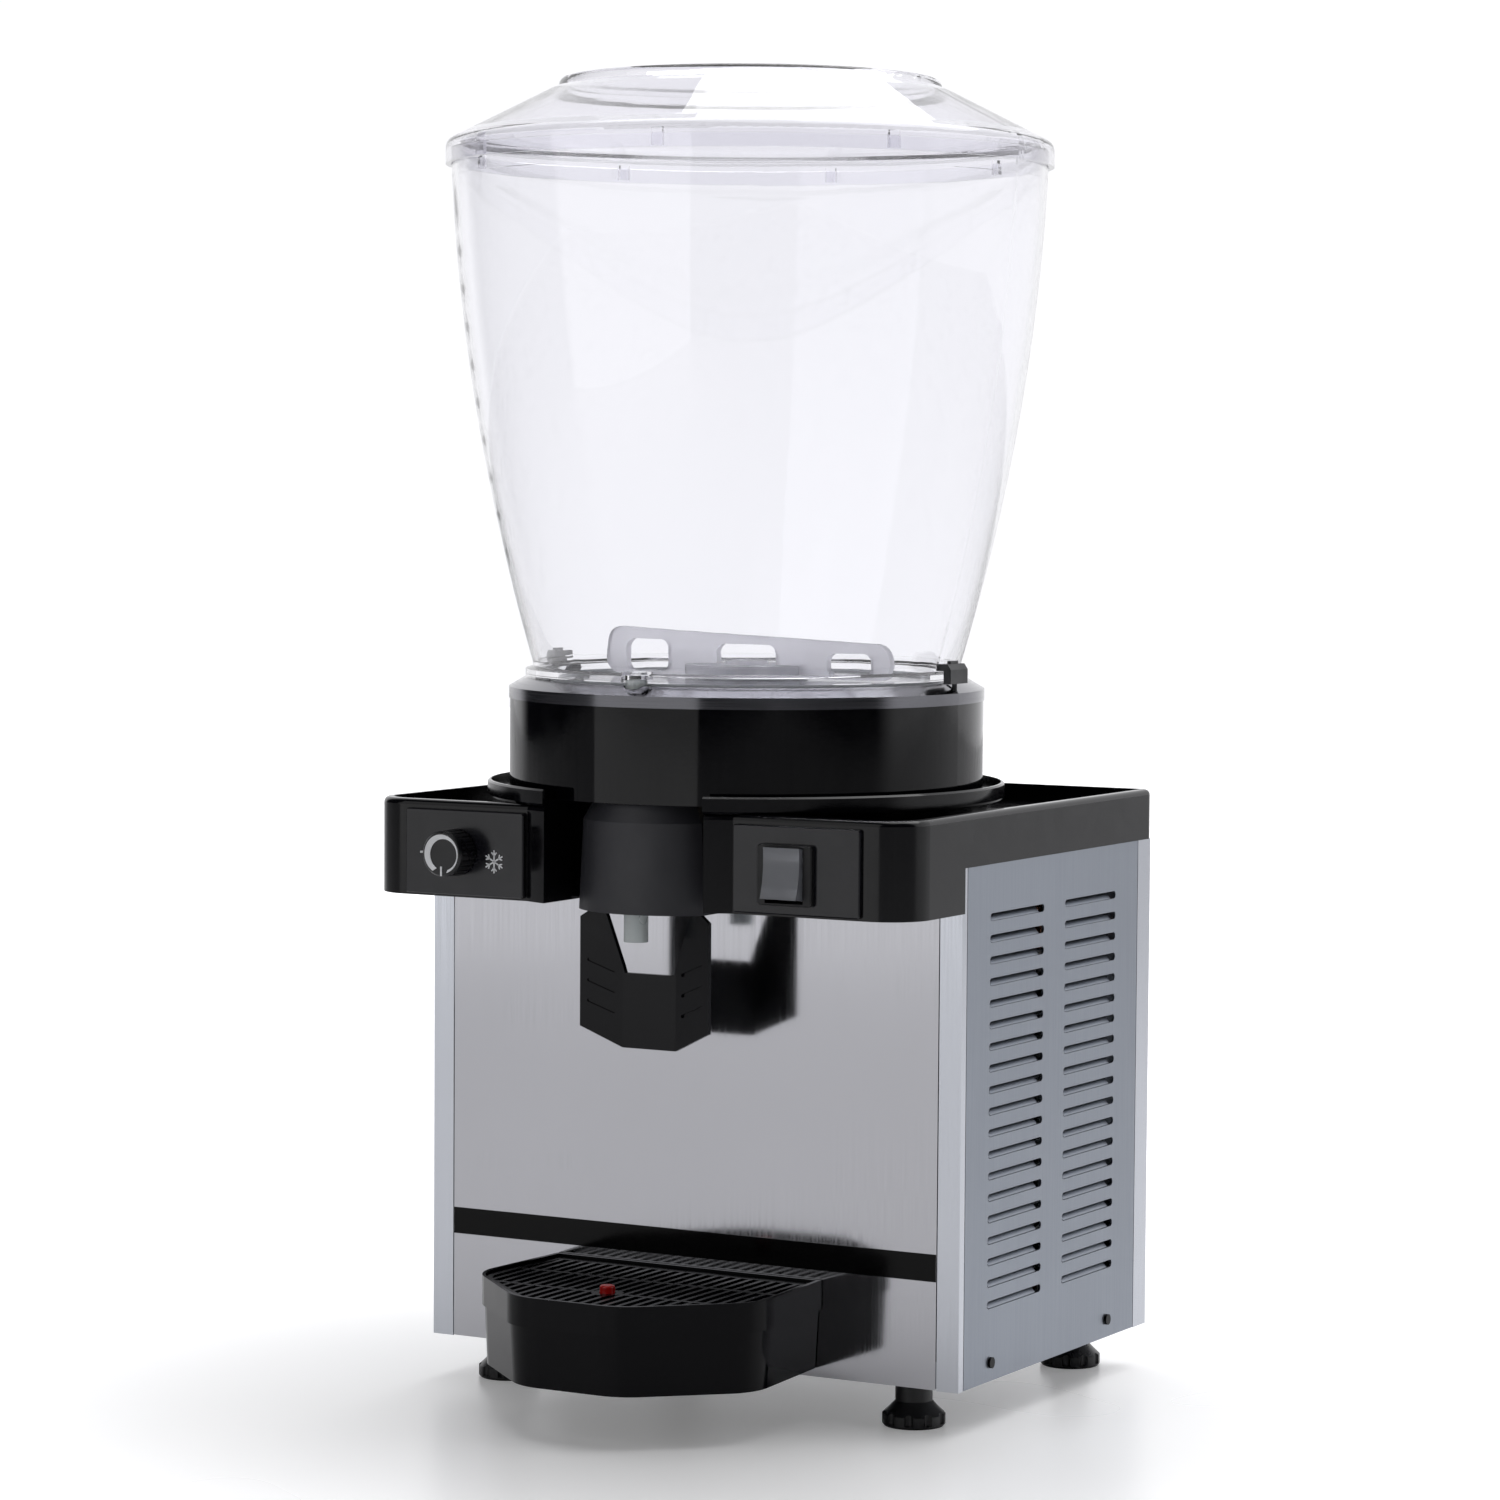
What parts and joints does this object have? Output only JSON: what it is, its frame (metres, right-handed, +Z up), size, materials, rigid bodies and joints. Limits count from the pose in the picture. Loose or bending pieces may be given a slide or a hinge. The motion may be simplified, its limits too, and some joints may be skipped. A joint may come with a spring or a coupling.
{
  "type": "refrigerated drink dispenser",
  "caption": "Refrigerated counter-top drink dispenser: clear bowl with stirring paddle on a cooled drum, push-lever tap, drip tray and louvred steel cabinet.",
  "frame": {"origin": "on the floor under the middle of the overall footprint", "axes": "+Z up, the tap faces -Y, +X is the right side seen from the front"},
  "size_m": [0.333, 0.3704, 0.7224],
  "materials": {
    "post_steel": "satin brushed",
    "pan_steel": "galvanised",
    "front_steel": "fine brushed, near mirror",
    "side_steel": "satin",
    "stripe_black": "gloss",
    "dark_screw": "dark",
    "zinc_steel": "zinc plated",
    "cover_black": "gloss",
    "drum_black": "high gloss",
    "plate_black": "satin gloss",
    "matt_black": "matt",
    "cream_plastic": "matt",
    "ring_steel": "polished",
    "foam": "foam",
    "copper": "drawn copper",
    "motor_silver": "cast",
    "housing_grey": "matt",
    "compressor_black": "satin",
    "grommet_rubber": "matt",
    "fin_aluminium": "satin",
    "clear_bowl": "clear",
    "clear_lid": "clear",
    "seal_white": "satin",
    "tube_clear": "translucent",
    "paddle_white": "translucent",
    "knob_black": "satin",
    "rocker_clear": "smoky clear",
    "lever_black": "gloss",
    "tray_black": "gloss",
    "grille_black": "satin",
    "float_red": "gloss",
    "latch_grey": "matt",
    "foot_black": "satin"
  },
  "bodies": {
    "chassis": {"corner_posts": "post_steel", "base_pan": "pan_steel", "front_panel": "front_steel", "front_stripe": "stripe_black", "side_panel_left": "side_steel", "side_panel_right": "side_steel", "rear_panel": "side_steel", "cabinet_screws": "dark_screw", "foot_nuts": "zinc_steel", "top_cover": "cover_black", "fascia_underplate": "matt_black", "thermostat_plate": "plate_black", "switch_plate": "plate_black", "thermostat_body": "cream_plastic", "switch_body": "matt_black", "drum_shell": "drum_black", "drip_gutter": "cover_black", "cooling_plate": "ring_steel", "insulation": "foam", "evaporator_coil": "copper", "motor_bracket": "pan_steel", "gear_motor": "motor_silver", "tap_housing": "housing_grey", "tap_bracket": "zinc_steel", "tube_anvil": "zinc_steel", "lever_pin": "zinc_steel", "lever_spring": "zinc_steel", "tray_rail": "front_steel", "compressor": "compressor_black", "compressor_mounts": "grommet_rubber", "terminal_box": "matt_black", "condenser": "fin_aluminium", "fan_shroud": "zinc_steel", "fan_motor": "motor_silver", "filter_drier": "copper", "refrigerant_pipes": "copper", "cable_gland": "matt_black"},
    "bowl": {"bowl": "clear_bowl", "bowl_seal": "seal_white", "outlet_tube": "tube_clear"},
    "lid": {"lid": "clear_lid"},
    "paddle": {"paddle": "paddle_white", "paddle_magnets": "zinc_steel"},
    "rotor": {"drive_rotor": "zinc_steel", "rotor_magnets": "zinc_steel"},
    "fan": {"fan_blade": "fin_aluminium"},
    "thermostat": {"thermostat_knob": "knob_black", "thermostat_shaft": "zinc_steel"},
    "rocker": {"switch_rocker": "rocker_clear"},
    "lever": {"tap_lever": "lever_black"},
    "pinch": {"pinch_bar": "zinc_steel"},
    "tray": {"drip_tray": "tray_black"},
    "grille": {"tray_grille": "grille_black"},
    "float": {"tray_float": "float_red"},
    "catch_left": {"bowl_catch_left": "latch_grey"},
    "catch_right": {"bowl_catch_right": "latch_grey"},
    "foot_fl": {"foot_front_left": "foot_black"},
    "foot_fr": {"foot_front_right": "foot_black"},
    "foot_rl": {"foot_rear_left": "foot_black"},
    "foot_rr": {"foot_rear_right": "foot_black"}
  },
  "joints": [
    {"name": "bowl_lift", "type": "slide", "parent": "chassis", "child": "bowl", "axis": [0, 0, 1], "range_m": [0, 0.15]},
    {"name": "lid_lift", "type": "slide", "parent": "bowl", "child": "lid", "axis": [0, 0, 1], "range_m": [0, 0.06]},
    {"name": "rotor_turn", "type": "hinge", "parent": "chassis", "child": "rotor", "pos_m": [0, 0.00275, 0.379], "axis": [0, 0, 1], "continuous": true},
    {"name": "paddle_turn", "type": "hinge", "parent": "chassis", "child": "paddle", "pos_m": [0, 0.00275, 0.4], "axis": [0, 0, 1], "continuous": true},
    {"name": "fan_turn", "type": "hinge", "parent": "chassis", "child": "fan", "pos_m": [0.096, 0.06, 0.15], "axis": [1, 0, 0], "continuous": true},
    {"name": "thermostat_turn", "type": "hinge", "parent": "chassis", "child": "thermostat", "pos_m": [-0.1064, -0.13, 0.3025], "axis": [0, 1, 0], "range_deg": [0, 300]},
    {"name": "switch_tilt", "type": "hinge", "parent": "chassis", "child": "rocker", "pos_m": [0.097, -0.12375, 0.3], "axis": [1, 0, 0], "range_deg": [0, 14]},
    {"name": "lever_push", "type": "hinge", "parent": "chassis", "child": "lever", "pos_m": [0, -0.10075, 0.309], "axis": [1, 0, 0], "range_deg": [0, 16], "stiffness_Nm_per_rad": 0.5, "springref_deg": -20.05},
    {"name": "pinch_open", "type": "slide", "parent": "chassis", "child": "pinch", "axis": [0, 1, 0], "range_m": [0, 0.0045]},
    {"name": "tray_lift", "type": "slide", "parent": "chassis", "child": "tray", "axis": [0, 0, 1], "range_m": [0, 0.05]},
    {"name": "grille_lift", "type": "slide", "parent": "tray", "child": "grille", "axis": [0, 0, 1], "range_m": [0, 0.03]},
    {"name": "float_rise", "type": "slide", "parent": "tray", "child": "float", "axis": [0, 0, 1], "range_m": [0, 0.012]},
    {"name": "catch_left_slide", "type": "slide", "parent": "chassis", "child": "catch_left", "axis": [1, 0, 0], "range_m": [0, 0.0036]},
    {"name": "catch_right_slide", "type": "slide", "parent": "chassis", "child": "catch_right", "axis": [-1, 0, 0], "range_m": [0, 0.0036]},
    {"name": "foot_fl_adjust", "type": "slide", "parent": "chassis", "child": "foot_fl", "axis": [0, 0, -1], "range_m": [0, 0.008]},
    {"name": "foot_fr_adjust", "type": "slide", "parent": "chassis", "child": "foot_fr", "axis": [0, 0, -1], "range_m": [0, 0.008]},
    {"name": "foot_rl_adjust", "type": "slide", "parent": "chassis", "child": "foot_rl", "axis": [0, 0, -1], "range_m": [0, 0.008]},
    {"name": "foot_rr_adjust", "type": "slide", "parent": "chassis", "child": "foot_rr", "axis": [0, 0, -1], "range_m": [0, 0.008]}
  ],
  "couplings": [
    {"joint": "paddle_turn", "follows": "rotor_turn", "ratio": 1},
    {"joint": "pinch_open", "follows": "lever_push", "m_per_rad": 0.015}
  ]
}
